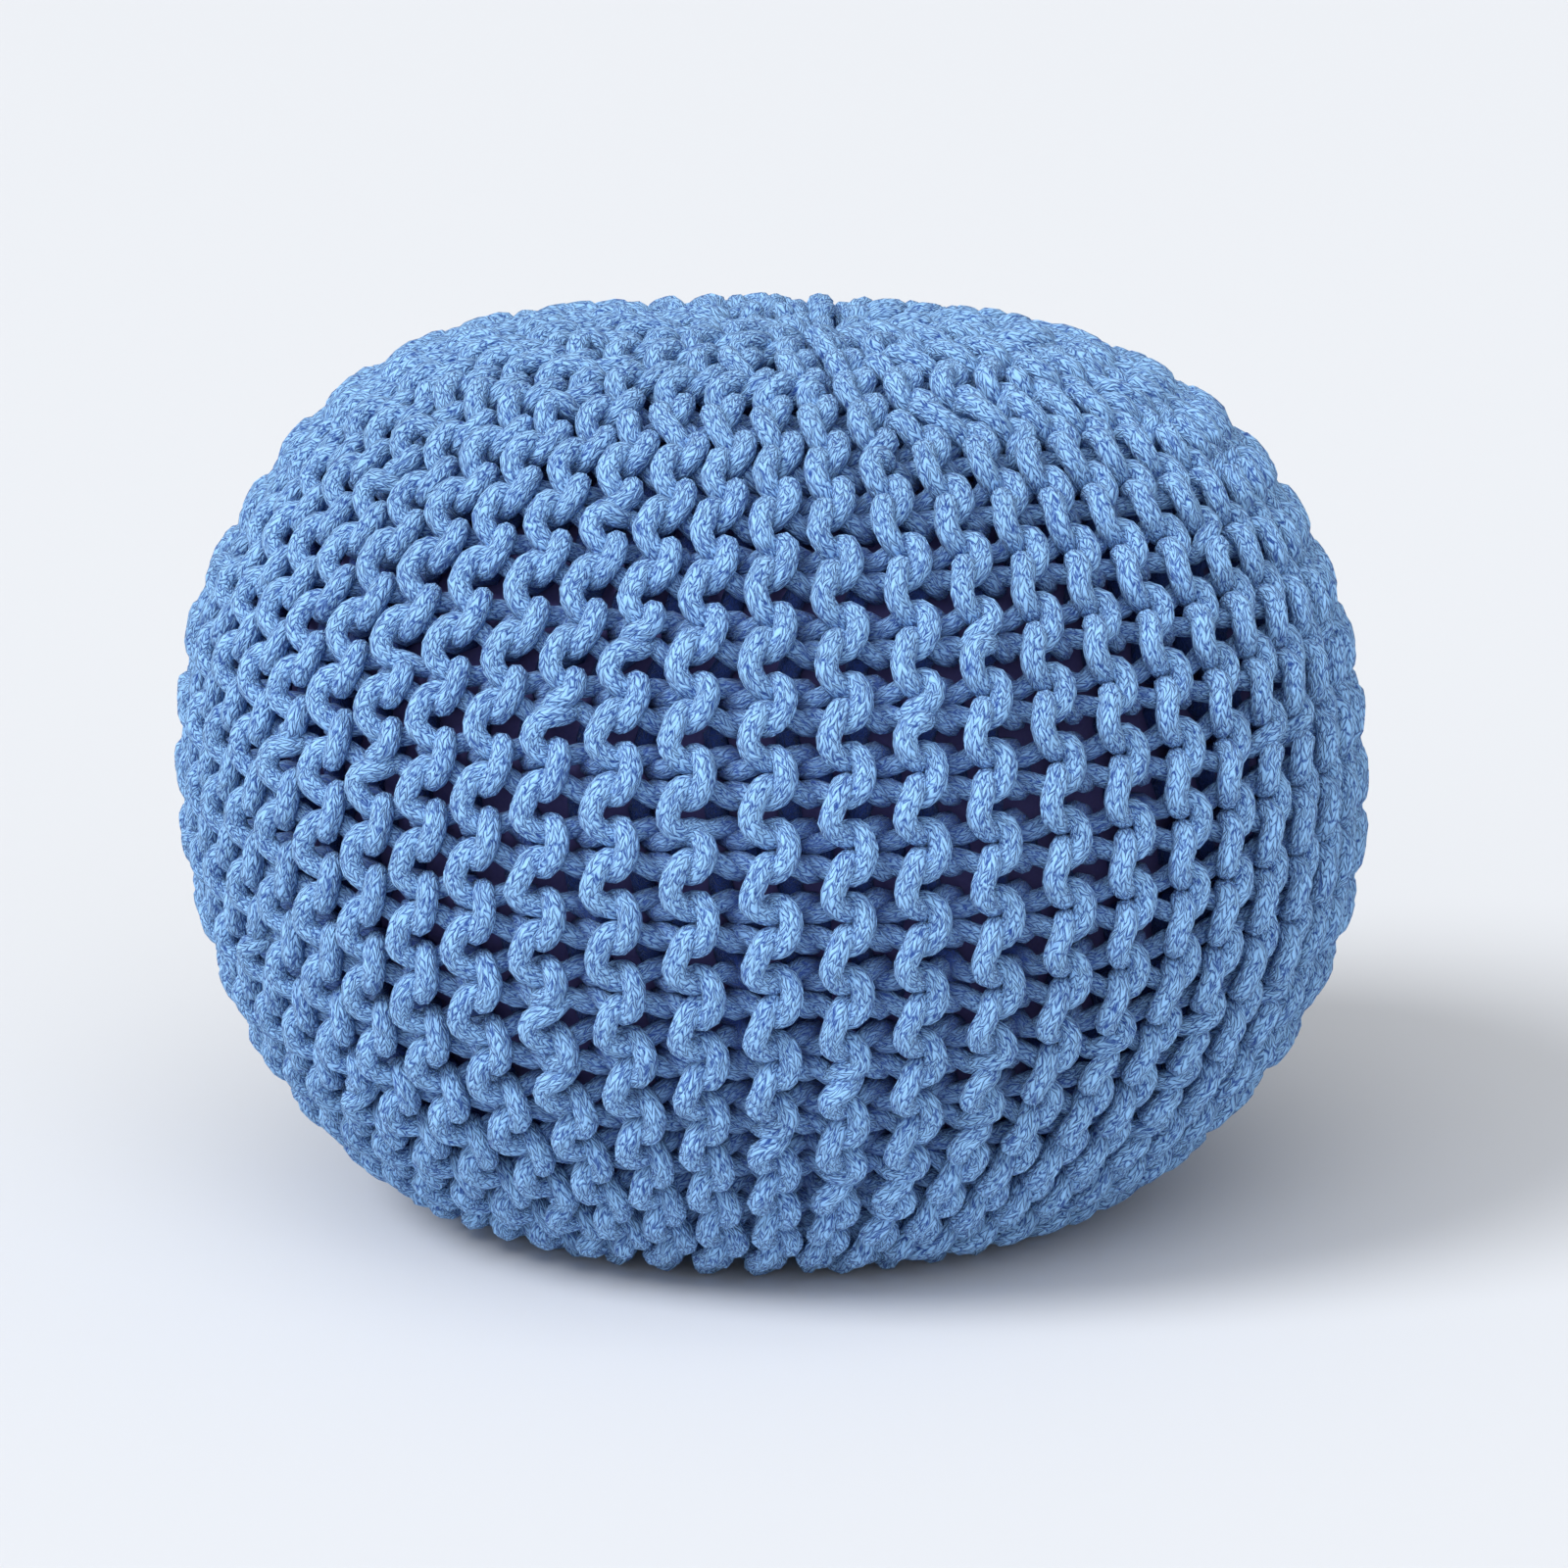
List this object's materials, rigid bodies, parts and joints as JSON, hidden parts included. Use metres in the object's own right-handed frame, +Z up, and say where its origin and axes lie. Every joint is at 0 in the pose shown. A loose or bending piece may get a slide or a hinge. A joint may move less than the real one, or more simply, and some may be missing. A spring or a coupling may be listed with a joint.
{
  "type": "knitted pouf",
  "caption": "Round filled floor pouf in chunky blue garter-stitch cotton cord, with ridges gathered at top and bottom and a flattened base.",
  "frame": {"origin": "on the floor under the middle of the body, in the plane of its flattened base", "axes": "+Z points up from the base to the gathered top, and -Y points to the side that the picture shows"},
  "size_m": [0.4968, 0.5026, 0.3794],
  "materials": {
    "cotton_cord": "matte knitted cotton cord, dyed mid blue"
  },
  "bodies": {
    "root": {"knitted_pouf": "cotton_cord"}
  },
  "joints": []
}
